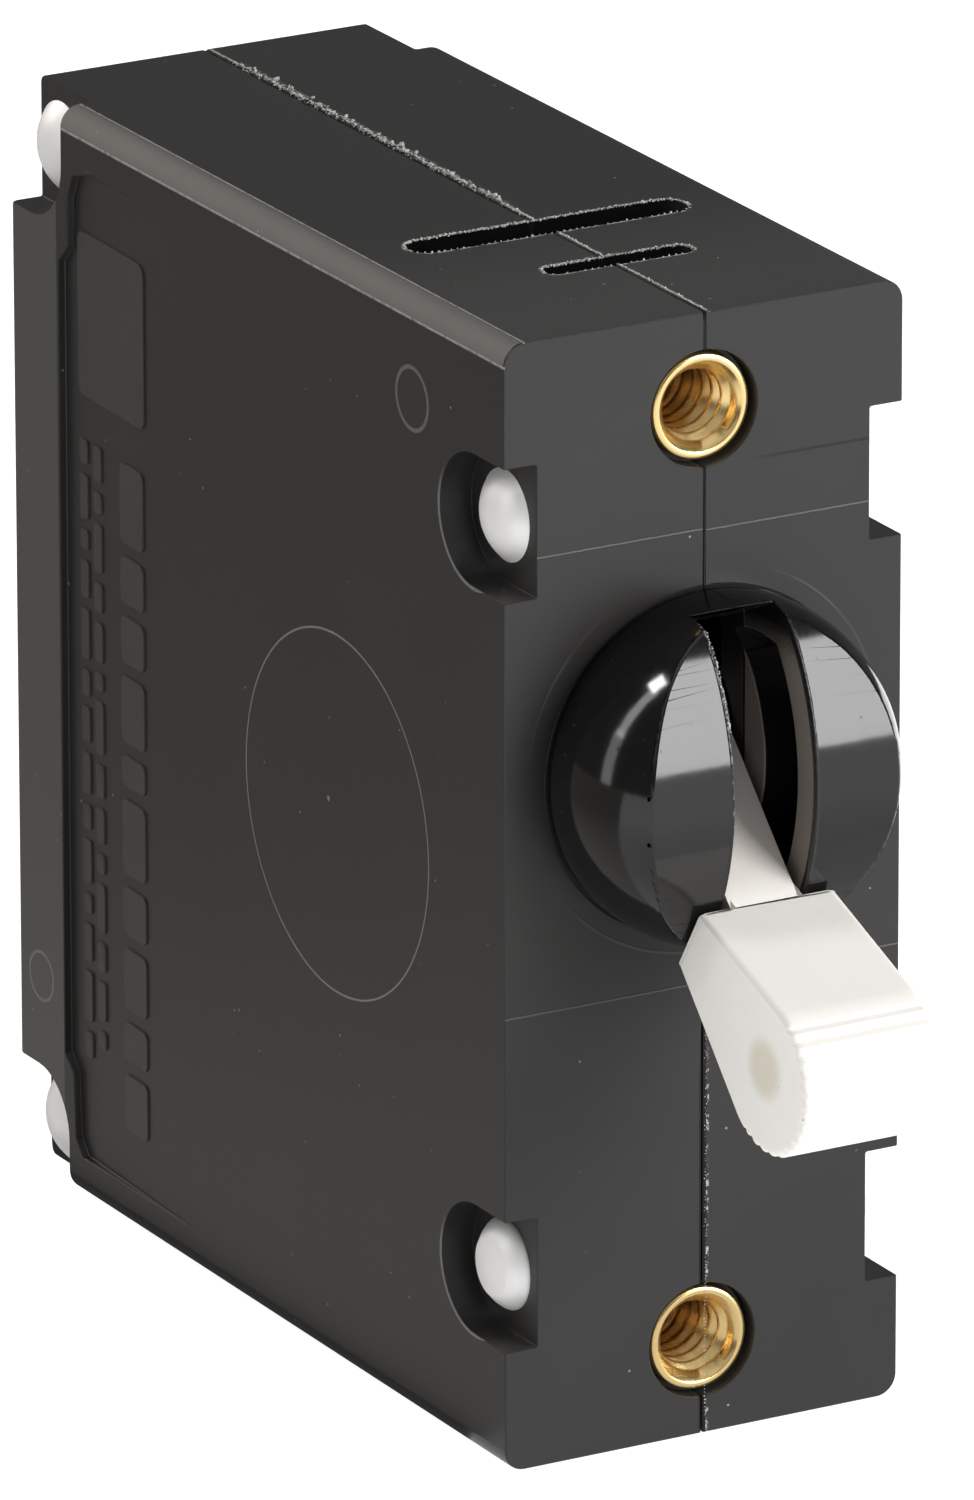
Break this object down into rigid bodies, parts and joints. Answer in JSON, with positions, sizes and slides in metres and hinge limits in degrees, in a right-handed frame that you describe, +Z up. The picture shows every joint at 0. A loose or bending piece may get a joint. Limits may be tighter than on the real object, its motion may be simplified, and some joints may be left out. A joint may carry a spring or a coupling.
{
  "type": "circuit breaker",
  "caption": "Single-pole panel-mount circuit breaker with a white toggle handle in a slotted ball, two front threaded inserts, rear screw terminals and its magnetic trip works inside.",
  "frame": {"origin": "on the front mounting face, midway between the two threaded inserts", "axes": "+X to the right seen from the front, +Y back into the panel, +Z up; the handle moves in the YZ plane"},
  "size_m": [0.019, 0.0624, 0.0496],
  "materials": {
    "case_moulding": "dark warm black thermoset, lightly glossy",
    "handle_moulding": "warm white moulded plastic, satin",
    "rivet_aluminium": "satin headed rivets",
    "insert_brass": "turned and threaded",
    "pin_steel": "ground",
    "spring_steel": "drawn wire",
    "plated_steel": "bright zinc plate",
    "copper_alloy": "rolled copper",
    "contact_silver": "pressed silver",
    "pressed_fibre": "vulcanised fibre",
    "terminal_brass": "stamped strip",
    "tube_brass": "drawn tube",
    "bobbin_nylon": "moulded",
    "enamelled_wire": "varnished copper winding wire",
    "lever_moulding": "moulded"
  },
  "bodies": {
    "base": {"case_left": "case_moulding", "case_right": "case_moulding", "case_rivets": "rivet_aluminium", "mounting_inserts": "insert_brass", "handle_pin": "pin_steel", "handle_spring": "spring_steel", "bar_pivot_pin": "pin_steel", "bar_spring": "spring_steel", "bar_stop": "pressed_fibre", "fixed_contact": "contact_silver", "line_terminal": "terminal_brass", "arc_plates": "plated_steel", "arc_chute_sides": "pressed_fibre", "magnet_frame": "plated_steel", "pole_piece": "plated_steel", "coil_bobbin": "bobbin_nylon", "coil_winding": "enamelled_wire", "coil_leads": "enamelled_wire", "delay_tube": "tube_brass", "delay_tube_cap": "tube_brass", "delay_spring": "spring_steel", "armature_pin": "pin_steel", "armature_spring": "spring_steel", "trip_lever_pin": "pin_steel", "flexible_braid": "copper_alloy", "load_terminal": "terminal_brass", "terminal_washers": "plated_steel", "terminal_screws": "plated_steel"},
    "handle": {"handle": "handle_moulding", "link_front_pin": "pin_steel"},
    "toggle_link": {"toggle_link": "plated_steel"},
    "contact_bar": {"contact_bar": "copper_alloy", "moving_contact": "contact_silver", "link_rear_pin": "pin_steel"},
    "delay_core": {"delay_core": "pin_steel"},
    "armature": {"armature": "plated_steel"},
    "trip_lever": {"trip_lever": "lever_moulding"}
  },
  "joints": [
    {"name": "handle_swing", "type": "hinge", "parent": "base", "child": "handle", "pos_m": [0, 0.0049, 0.0053], "axis": [-1, 0, 0], "range_deg": [0, 66], "deforming": ["handle_spring"]},
    {"name": "link_swing", "type": "hinge", "parent": "handle", "child": "toggle_link", "pos_m": [0, 0.00635, 0.00746], "axis": [1, 0, 0], "range_deg": [0, 86.1]},
    {"name": "bar_swing", "type": "hinge", "parent": "base", "child": "contact_bar", "pos_m": [0, 0.0152, -0.005], "axis": [-1, 0, 0], "range_deg": [0, 14.6], "deforming": ["bar_spring", "flexible_braid"]},
    {"name": "armature_swing", "type": "hinge", "parent": "base", "child": "armature", "pos_m": [0, 0.0088, -0.0202], "axis": [-1, 0, 0], "range_deg": [0, 8], "stiffness_Nm_per_rad": 0.002, "deforming": ["armature_spring"]},
    {"name": "trip_swing", "type": "hinge", "parent": "base", "child": "trip_lever", "pos_m": [0, 0.0105, -0.0015], "axis": [1, 0, 0], "range_deg": [0, 24]},
    {"name": "core_slide", "type": "slide", "parent": "base", "child": "delay_core", "axis": [0, -1, 0], "range_m": [0, 0.008], "stiffness_N_per_m": 20, "deforming": ["delay_spring"]}
  ],
  "couplings": [
    {"joint": "link_swing", "follows": "handle_swing", "ratio": 1.3041},
    {"joint": "bar_swing", "follows": "handle_swing", "ratio": 0.22087},
    {"joint": "trip_swing", "follows": "armature_swing", "ratio": 3}
  ]
}
